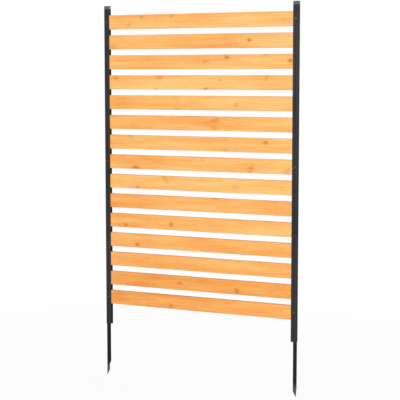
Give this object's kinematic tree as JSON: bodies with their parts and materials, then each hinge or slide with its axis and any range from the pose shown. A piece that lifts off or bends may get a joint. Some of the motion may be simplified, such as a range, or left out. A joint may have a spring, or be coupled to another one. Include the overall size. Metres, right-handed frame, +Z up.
{
  "type": "garden privacy screen",
  "caption": "Upright slatted privacy screen: level softwood boards held between two dark channel posts with end caps, on pointed ground stakes.",
  "frame": {"origin": "on the ground line midway between the two posts, at mid-depth of the posts; the posts' feet stand on this plane and the stakes reach below it", "axes": "+X along the boards towards the right post, +Y to the back, +Z up; the screw heads are on the -Y face"},
  "size_m": [0.98, 0.0259, 1.7989],
  "materials": {
    "post_coating": "fine-textured black powder coat",
    "cap_plastic": "satin grey moulding",
    "board_wood": "planed and glazed softwood",
    "stake_coating": "black coat, bare metal at the sawn point",
    "screw_steel": "bright zinc",
    "bolt_steel": "bright zinc",
    "spacer_plastic": "matt black extrusion"
  },
  "bodies": {
    "root": {"left_post": "post_coating", "left_post_cap": "cap_plastic", "left_ground_stake": "stake_coating", "left_board_screws": "screw_steel", "left_stake_bolts": "bolt_steel", "left_stake_nuts": "bolt_steel", "left_spacer_01": "spacer_plastic", "left_spacer_02": "spacer_plastic", "left_spacer_03": "spacer_plastic", "left_spacer_04": "spacer_plastic", "left_spacer_05": "spacer_plastic", "left_spacer_06": "spacer_plastic", "left_spacer_07": "spacer_plastic", "left_spacer_08": "spacer_plastic", "left_spacer_09": "spacer_plastic", "left_spacer_10": "spacer_plastic", "left_spacer_11": "spacer_plastic", "left_spacer_12": "spacer_plastic", "left_spacer_13": "spacer_plastic", "left_spacer_14": "spacer_plastic", "right_post": "post_coating", "right_post_cap": "cap_plastic", "right_ground_stake": "stake_coating", "right_board_screws": "screw_steel", "right_stake_bolts": "bolt_steel", "right_stake_nuts": "bolt_steel", "right_spacer_01": "spacer_plastic", "right_spacer_02": "spacer_plastic", "right_spacer_03": "spacer_plastic", "right_spacer_04": "spacer_plastic", "right_spacer_05": "spacer_plastic", "right_spacer_06": "spacer_plastic", "right_spacer_07": "spacer_plastic", "right_spacer_08": "spacer_plastic", "right_spacer_09": "spacer_plastic", "right_spacer_10": "spacer_plastic", "right_spacer_11": "spacer_plastic", "right_spacer_12": "spacer_plastic", "right_spacer_13": "spacer_plastic", "right_spacer_14": "spacer_plastic", "slat_01": "board_wood", "slat_02": "board_wood", "slat_03": "board_wood", "slat_04": "board_wood", "slat_05": "board_wood", "slat_06": "board_wood", "slat_07": "board_wood", "slat_08": "board_wood", "slat_09": "board_wood", "slat_10": "board_wood", "slat_11": "board_wood", "slat_12": "board_wood", "slat_13": "board_wood", "slat_14": "board_wood", "slat_15": "board_wood"}
  },
  "joints": []
}
